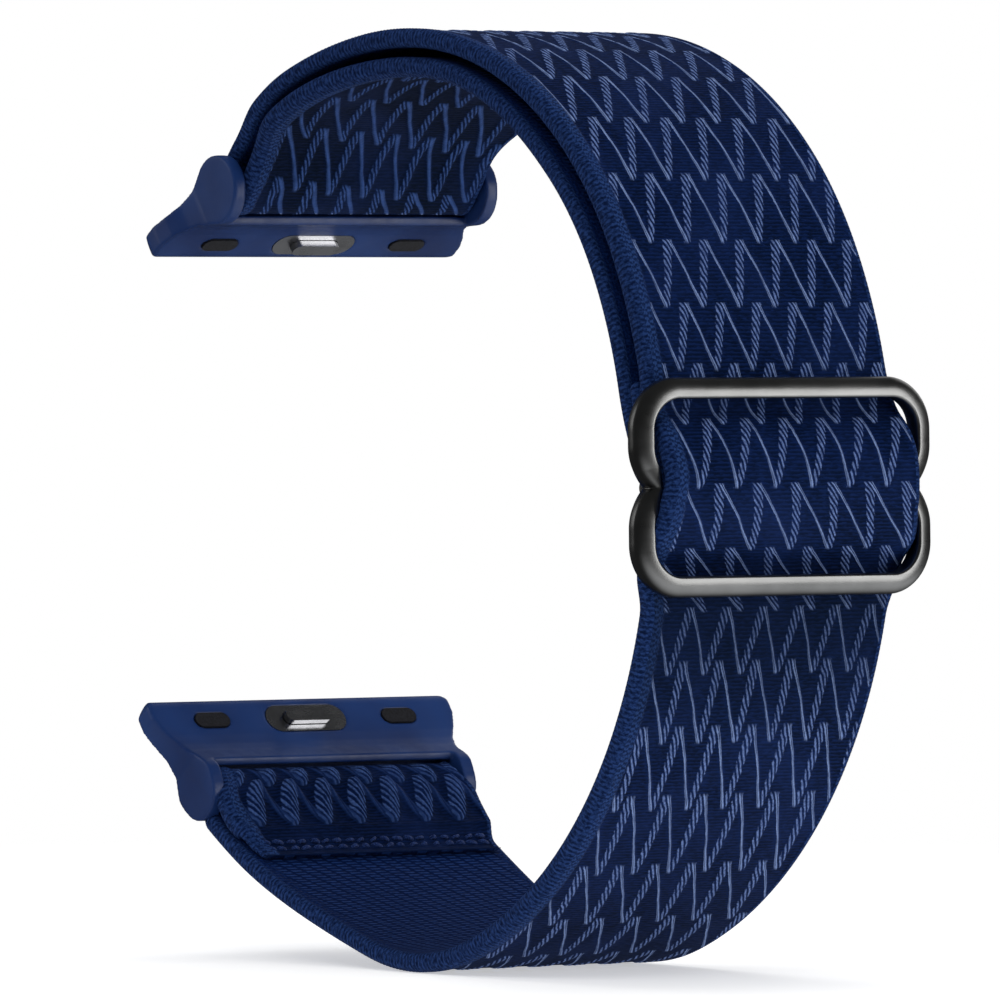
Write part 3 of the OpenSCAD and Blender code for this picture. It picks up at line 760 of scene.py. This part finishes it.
def back_material():
    """The plain side: short dashes of thread in slanting columns."""
    g = Net("webbing_back")
    u, v = g.uv("weave")
    fine = g.noise(g.vec(g.mul(u, 3.0), g.mul(v, 2.0), 1.0), 1.0, 2.0, 0.6)
    cc = g.div(g.add(g.add(v, g.mul(u, 0.36)), g.mul(fine, 0.25)), 1.22)
    cf = g.math("ABSOLUTE", g.to_whole(cc))
    column = g.smooth(cf, 0.30, 0.44, 1.0, 0.0)
    rr = g.add(g.div(u, 0.47), g.add(g.mul(g.math("FLOOR", g.add(cc, 0.5)), 0.37), g.mul(fine, 0.35)))
    rf = g.math("ABSOLUTE", g.to_whole(rr))
    dash = g.mul(g.smooth(rf, 0.14, 0.34, 1.0, 0.0), column)
    edge = g.mul(g.smooth(v, 1.2, 1.7), g.smooth(v, 22.6, 23.0, 1.0, 0.0))
    grain = g.noise(g.vec(g.mul(u, 4.4), g.mul(v, 4.0), 11.0), 1.0, 3.0, 0.65)
    base = g.mix(g.smooth(grain, 0.35, 0.7), lin(1, 15, 50), lin(5, 26, 72))
    col = g.mix(g.mul(g.mul(dash, edge), g.smooth(fine, 0.3, 0.65, 0.35, 0.9)), base, lin(32, 60, 118))
    selv = g.mix(g.smooth(grain, 0.38, 0.66), lin(4, 19, 56), lin(20, 44, 96))
    col = g.mix(g.sub(1.0, edge), col, selv)
    g.link(col, g.bsdf.inputs["Base Color"])
    g.link(g.bump(g.add(g.mul(dash, 0.7), g.mul(grain, 0.5)), 0.00008, 0.9), g.bsdf.inputs["Normal"])
    g.link(g.smooth(dash, 0.0, 1.0, 0.86, 0.62), g.bsdf.inputs["Roughness"])
    g.bsdf.inputs["Sheen Weight"].default_value = 0.02
    g.bsdf.inputs["Sheen Roughness"].default_value = 0.5
    g.bsdf.inputs["Sheen Tint"].default_value = (0.35, 0.5, 1.0, 1.0)
    g.bsdf.inputs["Specular Tint"].default_value = (0.4, 0.65, 1.0, 1.0)
    g.bsdf.inputs["Specular IOR Level"].default_value = 0.06
    return g.m


def thread_material():
    g = Net("sewing_thread")
    p = g.obj()
    f = g.noise(p, 9000.0, 2.0, 0.5)
    g.link(g.mix(g.smooth(f, 0.35, 0.7), lin(12, 30, 74), lin(44, 68, 124)), g.bsdf.inputs["Base Color"])
    g.link(g.bump(f, 0.00002, 0.6), g.bsdf.inputs["Normal"])
    g.bsdf.inputs["Roughness"].default_value = 0.55
    g.bsdf.inputs["Sheen Weight"].default_value = 0.05
    g.bsdf.inputs["Specular IOR Level"].default_value = 0.15
    return g.m


def plastic_material():
    g = Net("adapter_plastic")
    p = g.obj()
    f = g.noise(p, 900.0, 3.0, 0.55)
    big = g.noise(p, 120.0, 2.0, 0.5)
    g.link(g.mix(g.smooth(big, 0.3, 0.75), lin(21, 43, 91), lin(31, 59, 114)), g.bsdf.inputs["Base Color"])
    g.link(g.smooth(f, 0.3, 0.75, 0.34, 0.46), g.bsdf.inputs["Roughness"])
    grain = g.noise(p, 9000.0, 2.0, 0.5)
    g.link(g.bump(grain, 0.000008, 0.5), g.bsdf.inputs["Normal"])
    g.bsdf.inputs["Specular IOR Level"].default_value = 0.32
    g.bsdf.inputs["Coat Weight"].default_value = 0.05
    g.bsdf.inputs["Coat Roughness"].default_value = 0.35
    return g.m


def metal_material(name, a, b, r0, r1, brushed=(300.0, 300.0, 3500.0)):
    g = Net(name)
    n = g.n.new("ShaderNodeMapping")
    n.inputs["Scale"].default_value = brushed
    g.link(g.obj(), n.inputs["Vector"])
    f = g.noise(n.outputs[0], 1.0, 3.0, 0.6)
    big = g.noise(g.obj(), 260.0, 3.0, 0.55)
    g.link(g.mix(g.smooth(big, 0.3, 0.7), a, b), g.bsdf.inputs["Base Color"])
    g.link(g.smooth(g.add(g.mul(f, 0.5), g.mul(big, 0.5)), 0.3, 0.7, r0, r1), g.bsdf.inputs["Roughness"])
    g.link(g.bump(f, 0.000006, 0.35), g.bsdf.inputs["Normal"])
    g.bsdf.inputs["Metallic"].default_value = 1.0
    return g.m


def rubber_material():
    g = Net("grip_pad_rubber")
    f = g.noise(g.obj(), 5000.0, 3.0, 0.6)
    g.link(g.mix(g.smooth(f, 0.3, 0.7), lin(16, 16, 20), lin(34, 34, 40)), g.bsdf.inputs["Base Color"])
    g.link(g.bump(f, 0.00003, 0.6), g.bsdf.inputs["Normal"])
    g.bsdf.inputs["Roughness"].default_value = 0.75
    return g.m


WEB = [front_material("webbing_outer_face", "outer"), front_material("webbing_wrist_face", "inner"),
       front_material("webbing_gathered_end", "tab"), edge_material(), back_material()]
THREAD = thread_material()
PLASTIC = plastic_material()
GUNMETAL = metal_material("gunmetal", lin(112, 112, 111), lin(125, 125, 124), 0.27, 0.35)
STEEL = metal_material("steel", lin(176, 176, 178), lin(196, 196, 198), 0.22, 0.32)
RUBBER = rubber_material()


def fin(x, z, y=0.0):
    """A point in metres from the X-Z plane of the chain."""
    return Vector(((x + OFF[0]) / 1000, y / 1000, (z + OFF[1]) / 1000))


# ---- the webbing's seven lengths ----
U_LOOP_SEAM = U_WRAP - 38.5
U_BAR_APEX = (U_WRAP + 0.0) / 2
low_bar_u = float(U_ALL[np.argmin(np.hypot(px - local(-0.8, -8.1)[0], pz - local(-0.8, -8.1)[1]) + 1e3 * (U_ALL < 60))])
U_V12, U_V34, U_V45 = 47.3, 123.4, 152.0
loop_piece = webbing("inner_layer_and_loop", U_FIRST, U_LOOP_SEAM, du=0.16, mats=WEB)
inner_piece = webbing("inner_layer_crown", U_LOOP_SEAM, U_BAR_APEX, mats=WEB)
crown_piece = webbing("outer_layer_crown", U_BAR_APEX, U_V12, du=0.14, mats=WEB)
wave_piece = webbing("outer_layer_buckle", U_V12, low_bar_u, mats=WEB)
below_piece = webbing("outer_layer_quarter", low_bar_u, U_V34, mats=WEB)
foot_piece = webbing("outer_layer_foot", U_V34, U_V45, mats=WEB)
end_piece = webbing("outer_layer_end_and_tab", U_V45, U_LAST, mats=WEB)


def polar(a, r=41.0):
    c, s = math.cos(R(a)), math.sin(R(a))
    return fin(SIDE[0] + r * c, SIDE[1] + r * s)


ca, cb = at(1, 12.5, 0), at(1, -5.5, 0)
for ob in (crown_piece, inner_piece):
    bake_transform(ob)
for ob in (wave_piece, loop_piece):
    polar(48)
    polar(14.3)
    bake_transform(ob)
polar(-12.4)
polar(-47.5)
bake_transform(below_piece)
qa, qb = at(4, -140, 0.75), at(4, -160, 0.75)
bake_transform(foot_piece)
sa, sb = at(5, -189, 0.75), at(6, -206, 0.75)
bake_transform(end_piece)
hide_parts("upper_wrap", "rising_run", "crown_run", "crown_flex_outer")
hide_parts("shoulder_run", "run_above_buckle", "buckle_wave")
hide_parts("run_below_buckle", "quarter_run")
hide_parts("quarter_flex", "foot_run")
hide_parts("stretch_run", "end_run", "lower_wrap", "lower_end_tab")
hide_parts("inner_rising_run", "inner_crown_run", "crown_flex_inner")
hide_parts("inner_shoulder_run", "inner_slack_run", "buckle_loop")


# ---- stitches: short arched runs of thread ----
def stitches(name, u, ys, base_length=0.95, base_r=0.15, rise=0.16, sink=0.05, loose=0.4):
    verts, faces = [], []
    n, k = 9, 10
    for row_u in u:
        p = np.array([np.interp(row_u, U_ALL, px), np.interp(row_u, U_ALL, pz)])
        e = np.array([np.interp(row_u, U_ALL, nx), np.interp(row_u, U_ALL, nz)])
        e /= np.hypot(*e)
        tdir = np.array([e[1], -e[0]])
        for y in ys:
            y = y + rng.uniform(-0.12, 0.12) * loose
            skew = rng.uniform(-0.16, 0.16) * loose
            length, r = base_length * (1 - loose * rng.uniform(0, 0.35)), base_r * (1 + loose * rng.uniform(-0.12, 0.3))
            base = len(verts)
            for a in range(n):
                f = a / (n - 1)
                yy = y + (f - 0.5) * length
                hgt = rise * math.sin(math.pi * f) - sink
                rad = r * (0.55 + 0.45 * math.sin(math.pi * f) ** 0.6)
                ctr = p + e * hgt + tdir * skew * (f - 0.5) * 2
                for b in range(k):
                    th = 2 * math.pi * b / k
                    tw = 1 + 0.10 * math.cos(2 * th + 9 * f)
                    q = ctr + e * rad * tw * math.sin(th) + tdir * rad * tw * math.cos(th)
                    verts.append(fin(q[0], q[1], yy))
            for a in range(n - 1):
                for b in range(k):
                    faces.append([base + a * k + b, base + a * k + (b + 1) % k, base + (a + 1) * k + (b + 1) % k, base + (a + 1) * k + b])
            faces.append([base + b for b in range(k)][::-1])
            faces.append([base + (n - 1) * k + b for b in range(k)])
    me = bpy.data.meshes.new(name)
    me.from_pydata(verts, [], faces)
    me.polygons.foreach_set("use_smooth", np.ones(len(faces), bool))
    me.materials.append(THREAD)
    ob = bpy.data.objects.new(name, me)
    scene.collection.objects.link(ob)
    bm_fix(ob)
    return ob


import bmesh


def bm_fix(ob):
    bm = bmesh.new()
    bm.from_mesh(ob.data)
    bmesh.ops.recalc_face_normals(bm, faces=bm.faces)
    bm.to_mesh(ob.data)
    bm.free()


YS = [1.2 * k for k in range(-9, 10)]
tab_stitches = stitches("tab_stitches", [U_TAB + 7.95, U_TAB + 8.75], YS, base_length=0.98, base_r=0.17, rise=0.13, sink=0.10, loose=1.0)
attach(tab_stitches, "lower_end")
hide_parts("lower_tab_stitching")
loop_s = local(-4.6, 5.1)
u_loop = float(U_ALL[np.argmin(np.hypot(px - loop_s[0], pz - loop_s[1]) + 1e3 * (uu < s_mark["loop_round"]) + 1e3 * (uu > s_mark["inner"] + 3))])
loop_stitches = stitches("loop_stitches", [u_loop], YS, base_length=0.95, base_r=0.14, rise=0.12, sink=0.08)
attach(loop_stitches, "buckle")
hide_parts("buckle_loop_stitching")


# ---- buckle frame: one closed bar swept round the figure eight ----
def buckle_frame():
    st = []                                   # (outer point, inner point) in (y, s)
    for y in np.linspace(0, 10.5, 26, endpoint=False):
        st.append(((y, 8.7), (y, 7.0)))
    for a in np.linspace(90, 0, 34, endpoint=False):
        c, s = math.cos(R(a)), math.sin(R(a))
        st.append(((10.5 + 4.2 * c, 4.5 + 4.2 * s), (10.5 + 2.5 * c, 4.5 + 2.5 * s)))
    for s in np.linspace(4.5, 3.25, 6, endpoint=False):
        st.append(((14.7, s), (13.0, s)))
    amax = math.degrees(math.asin(3.25 / 4.2))
    inner = [(10.5 + 2.5 * math.cos(R(a)), 3.25 - 2.5 * math.sin(R(a))) for a in np.linspace(0, 40.5, 30)]
    inner += [(12.4, s) for s in np.linspace(1.6, 0, 16)[1:]]
    inner = np.array(inner)
    li = np.r_[0, np.cumsum(np.hypot(*np.diff(inner, axis=0).T))]
    for f in np.linspace(0, 1, 34):
        a = amax * f
        o = (10.5 + 4.2 * math.cos(R(a)), 3.25 - 4.2 * math.sin(R(a)))
        g = li[-1] * f
        st.append((o, (np.interp(g, li, inner[:, 0]), np.interp(g, li, inner[:, 1]))))
    quarter = st
    right = quarter + [((o[0], -o[1]), (i[0], -i[1])) for o, i in quarter[-2::-1]]
    full = right + [((-o[0], o[1]), (-i[0], i[1])) for o, i in right[-2:0:-1]]
    p, in_r = 2.75, 0.30
    verts, faces = [], []

    def bar_section(roll):
        """The bar's section from its outer side over the front to its inner side and round the back: (out, forward), each from -1 to 1.
        The front is crowned, highest next to the opening; roll leans it outward."""
        out = []
        a0 = -1 + in_r
        top = 0.95
        for x in np.linspace(1, 0, 26, endpoint=False):
            x = math.sin(x * math.pi / 2)
            a = a0 + (1 - a0) * x
            q = (a - a0 + roll) / (1 - a0 + roll)
            q0 = roll / (1 - a0 + roll)
            out.append((a, top * math.sqrt(max(0.0, 1 - q * q)) / math.sqrt(1 - q0 * q0)))
        for th in np.linspace(90, 180, 9, endpoint=False):
            out.append((a0 + in_r * math.cos(R(th)), top - in_r + in_r * math.sin(R(th))))
        out.append((-1.0, 0.35))
        for th in np.linspace(180, 360, 26, endpoint=False):
            c, s = math.cos(R(th)), math.sin(R(th))
            out.append((math.copysign(abs(c) ** (2 / p), c), math.copysign(abs(s) ** (2 / p), s)))
        return out

    k = len(bar_section(0.0))
    for o, i in full:
        o, i = np.array(o), np.array(i)
        mid, half = (o + i) / 2, (o - i) / 2
        roll = 0.28 * smooth01(abs(half[0]) / np.hypot(*half) * 1.15)
        for a, d in bar_section(roll):
            y, z = mid + half * a
            q = local(0.5 + 1.0 * d, z)
            verts.append(fin(q[0], q[1], y))
    n = len(full)
    for a in range(n):
        for b in range(k):
            faces.append([a * k + b, a * k + (b + 1) % k, ((a + 1) % n) * k + (b + 1) % k, ((a + 1) % n) * k + b])
    me = bpy.data.meshes.new("buckle_bar")
    me.from_pydata(verts, [], faces)
    me.polygons.foreach_set("use_smooth", np.ones(len(faces), bool))
    me.materials.append(GUNMETAL)
    ob = bpy.data.objects.new("buckle_bar", me)
    scene.collection.objects.link(ob)
    bm_fix(ob)
    return ob


bar_piece = buckle_frame()
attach(bar_piece, "buckle")
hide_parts("buckle_frame")


# ---- adapters: the CAD body with its edges rounded ----
def trim_ears(me, centre, r0, r1):
    """Draw the free side of the two ears in from radius r0 to r1 about the crossbar."""
    co = np.empty(len(me.vertices) * 3, np.float32)
    me.vertices.foreach_get("co", co)
    co = co.reshape(-1, 3).astype(float)
    body = co[np.abs(co[:, 1]) < 0.010]
    away = np.array([body[:, 0].mean() - centre[0], body[:, 2].mean() - centre[1]])
    away /= np.hypot(*away)
    d = co[:, [0, 2]] - centre
    rad = np.hypot(d[:, 0], d[:, 1])
    cos = (d @ away) / np.maximum(rad, 1e-9)
    w = smooth01((0.55 - cos) / 0.8) * (np.abs(co[:, 1]) > 0.0118) * smooth01((rad - 0.0008) / (r0 - 0.0008))
    f = 1 - w * (1 - r1 / r0)
    co[:, 0], co[:, 2] = centre[0] + d[:, 0] * f, centre[1] + d[:, 1] * f
    me.vertices.foreach_set("co", co.astype(np.float32).ravel())
    me.update()


def rounded(node, name, material, voxel=0.00013, rounds=9, factor=0.5, shrink=None):
    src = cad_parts[node]
    ob = bpy.data.objects.new(name, src.data.copy())
    scene.collection.objects.link(ob)
    ob.data.materials.clear()
    bm = bmesh.new()
    bm.from_mesh(ob.data)
    bmesh.ops.remove_doubles(bm, verts=bm.verts, dist=1e-7)
    bm.to_mesh(ob.data)
    bm.free()
    if ob.data.has_custom_normals:
        with bpy.context.temp_override(object=ob, active_object=ob):
            bpy.ops.mesh.customdata_custom_splitnormals_clear()
    m = ob.modifiers.new("remesh", "REMESH")
    m.mode = "VOXEL"
    m.voxel_size = voxel
    m.use_smooth_shade = True
    s = ob.modifiers.new("smooth", "SMOOTH")
    s.factor = factor
    s.iterations = rounds
    dg = bpy.context.evaluated_depsgraph_get()
    me = bpy.data.meshes.new_from_object(ob.evaluated_get(dg))
    me.name = name
    ob.modifiers.clear()
    ob.data = me
    if shrink:
        trim_ears(me, *shrink)
    me.materials.clear()
    me.materials.append(material)
    me.polygons.foreach_set("use_smooth", np.ones(len(me.polygons), bool))
    me.polygons.foreach_set("material_index", np.zeros(len(me.polygons), np.int32))
    return ob


for side in ("upper", "lower"):
    bar_at = LO if side == "lower" else UP
    lug = rounded(f"{side}_lug_body", f"{side}_lug", PLASTIC,
                  shrink=((bar_at + OFF) / 1000, 0.0029, 0.00245) if side == "lower" else None)
    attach(lug, f"{side}_adapter")
    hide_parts(f"{side}_lug_body")


def dress(node, material):
    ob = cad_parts[node]
    ob.data.materials.clear()
    ob.data.materials.append(material)
    for p in ob.data.polygons:
        p.material_index = 0


for side in ("upper", "lower"):
    for part in ("crossbar", "catch", "catch_plate"):
        dress(f"{side}_{part}", STEEL)
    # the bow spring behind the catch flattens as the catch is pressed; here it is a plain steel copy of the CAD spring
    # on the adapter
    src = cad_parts[f"{side}_catch_spring"]
    spring = bpy.data.objects.new(f"{side}_bow_spring", src.data.copy())
    scene.collection.objects.link(spring)
    spring.matrix_world = src.matrix_world.copy()
    spring.data.materials.clear()
    spring.data.materials.append(STEEL)
    for p in spring.data.polygons:
        p.material_index = 0
    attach(spring, f"{side}_adapter")
    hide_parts(f"{side}_catch_spring")
    push = Vector((-0.5878, 0, 0.809) if side == "upper" else (-0.7986, 0, -0.6018)).normalized()
    reach = [(spring.matrix_world @ v.co).dot(push) for v in spring.data.vertices]
    lo, hi = min(reach), max(reach)
    foot = sum(((spring.matrix_world @ v.co) for v in spring.data.vertices), Vector()) / len(spring.data.vertices)
    foot += push * (hi - foot.dot(push))
    print("spring", side, hi - lo)
    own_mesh(spring)
    dress(f"{side}_grip_pads", RUBBER)
dress("buckle_middle_bar", GUNMETAL)

# ---------------------------------------------------------------------------------------------------------------
# floor, light and camera
# ---------------------------------------------------------------------------------------------------------------
def floor():
    me = bpy.data.meshes.new("floor")
    n, rings = 96, [0.0, 0.1, 0.25, 0.5, 1.0, 2.0, 4.0]
    verts, faces = [(0, 0, 0)], []
    for r in rings[1:]:
        for k in range(n):
            verts.append((r * math.cos(2 * math.pi * k / n), r * math.sin(2 * math.pi * k / n), 0))
    for k in range(n):
        faces.append([0, 1 + k, 1 + (k + 1) % n])
    for j in range(len(rings) - 2):
        for k in range(n):
            faces.append([1 + j * n + k, 1 + j * n + (k + 1) % n, 1 + (j + 1) * n + (k + 1) % n, 1 + (j + 1) * n + k])
    me.from_pydata(verts, [], faces)
    ob = bpy.data.objects.new("floor", me)
    ob.location.z = -0.00012
    ob.visible_glossy = False
    scene.collection.objects.link(ob)
    g = Net("floor_pale")
    f = g.noise(g.obj(), 6.0, 2.0, 0.5)
    g.link(g.mix(f, (0.86, 0.86, 0.87, 1), (0.90, 0.90, 0.90, 1)), g.bsdf.inputs["Base Color"])
    g.bsdf.inputs["Roughness"].default_value = 0.9
    g.bsdf.inputs["Specular IOR Level"].default_value = 0.06
    g.bsdf.inputs["Emission Color"].default_value = (1, 1, 1, 1)
    g.bsdf.inputs["Emission Strength"].default_value = 0.48
    sep = g.n.new("ShaderNodeSeparateXYZ")
    g.link(g.obj(), sep.inputs[0])
    rad = g.math("SQRT", g.add(g.mul(sep.outputs[0], sep.outputs[0]), g.mul(sep.outputs[1], sep.outputs[1])))
    clear = g.n.new("ShaderNodeBsdfTransparent")
    mixer = g.n.new("ShaderNodeMixShader")
    g.link(g.smooth(rad, 0.06, 0.24), mixer.inputs[0])
    g.link(g.bsdf.outputs[0], mixer.inputs[1])
    g.link(clear.outputs[0], mixer.inputs[2])
    g.link(mixer.outputs[0], g.n["Material Output"].inputs["Surface"])
    me.materials.append(g.m)


floor()

world = bpy.data.worlds.new("studio")
scene.world = world
world.use_nodes = True
wn, wl = world.node_tree.nodes, world.node_tree.links
wn.clear()
out = wn.new("ShaderNodeOutputWorld")
bg_cam, bg_dif, bg_glo = (wn.new("ShaderNodeBackground") for _ in range(3))
bg_cam.inputs[0].default_value, bg_cam.inputs[1].default_value = (1, 1, 1, 1), 1.0
bg_dif.inputs[0].default_value, bg_dif.inputs[1].default_value = (0.95, 0.97, 1.0, 1), 0.20
bg_glo.inputs[0].default_value, bg_glo.inputs[1].default_value = (0.95, 0.97, 1.0, 1), 0.03
lp = wn.new("ShaderNodeLightPath")
mix1, mix2 = wn.new("ShaderNodeMixShader"), wn.new("ShaderNodeMixShader")


def world_step(value, lo, hi, a=0.0, b=1.0):
    n = wn.new("ShaderNodeMapRange")
    n.interpolation_type = "SMOOTHSTEP"
    wl.new(value, n.inputs["Value"])
    for key, x in (("From Min", lo), ("From Max", hi), ("To Min", a), ("To Max", b)):
        n.inputs[key].default_value = x
    return n.outputs[0]


# a pale card low in front, which only polished faces pick up
toward = wn.new("ShaderNodeTexCoord")
card = wn.new("ShaderNodeVectorMath")
card.operation = "DOT_PRODUCT"
card.inputs[1].default_value = (0.80, 0.60, 0.0)
parts = wn.new("ShaderNodeSeparateXYZ")
card_level = wn.new("ShaderNodeMath")
card_level.operation = "MULTIPLY_ADD"
card_level.inputs[2].default_value = 0.05
wl.new(toward.outputs["Generated"], card.inputs[0])
wl.new(toward.outputs["Generated"], parts.inputs[0])
wl.new(world_step(parts.outputs[2], -0.45, -0.20, 1.35, 0.0), card_level.inputs[0])
wl.new(world_step(card.outputs["Value"], 0.0, 0.95), card_level.inputs[1])
wl.new(card_level.outputs[0], bg_glo.inputs[1])
wl.new(lp.outputs["Is Glossy Ray"], mix1.inputs[0])
wl.new(bg_dif.outputs[0], mix1.inputs[1])
wl.new(bg_glo.outputs[0], mix1.inputs[2])
wl.new(lp.outputs["Is Camera Ray"], mix2.inputs[0])
wl.new(mix1.outputs[0], mix2.inputs[1])
wl.new(bg_cam.outputs[0], mix2.inputs[2])
wl.new(mix2.outputs[0], out.inputs[0])

CENTRE = Vector((0.0, 0.0, 0.038))


def softbox(name, direction, dist, w, h, power, colour=(1, 1, 1), mirrored=True):
    d = bpy.data.lights.new(name, "AREA")
    d.shape = "RECTANGLE"
    d.size, d.size_y = w, h
    d.energy = power
    d.color = colour
    ob = bpy.data.objects.new(name, d)
    v = Vector(direction).normalized()
    ob.location = CENTRE + v * dist
    ob.rotation_euler = v.to_track_quat("Z", "Y").to_euler()
    ob.visible_glossy = mirrored
    scene.collection.objects.link(ob)
    return ob


softbox("key", (0.55, -0.75, 0.75), 0.9, 0.55, 0.45, 2.3, mirrored=False)
softbox("front", (0.80, 0.60, 0.04), 0.75, 0.36, 0.50, 2.15)
softbox("top", (-0.1, 0.1, 1.0), 0.9, 0.7, 0.7, 3.6, mirrored=False)
softbox("left", (-0.75, -0.75, 0.35), 0.9, 0.5, 0.5, 0.7)
softbox("rear", (-0.4, 0.9, 0.5), 0.9, 0.6, 0.5, 0.8)

cam = bpy.data.cameras.new("camera")
cam.sensor_width = 36.0
cam.lens = 432.0
cam.clip_start, cam.clip_end = 0.01, 20.0
camera = bpy.data.objects.new("camera", cam)
az, el = 54.5, 1.0
d = Vector((math.sin(R(az)) * math.cos(R(el)), -math.cos(R(az)) * math.cos(R(el)), math.sin(R(el))))
target = Vector((-0.01741, 0.00882, 0.03787))
camera.location = target + d * 1.0
camera.rotation_euler = d.to_track_quat("Z", "Y").to_euler()
scene.collection.objects.link(camera)
scene.camera = camera
scene.view_settings.view_transform = "Standard"
scene.view_settings.look = "None"
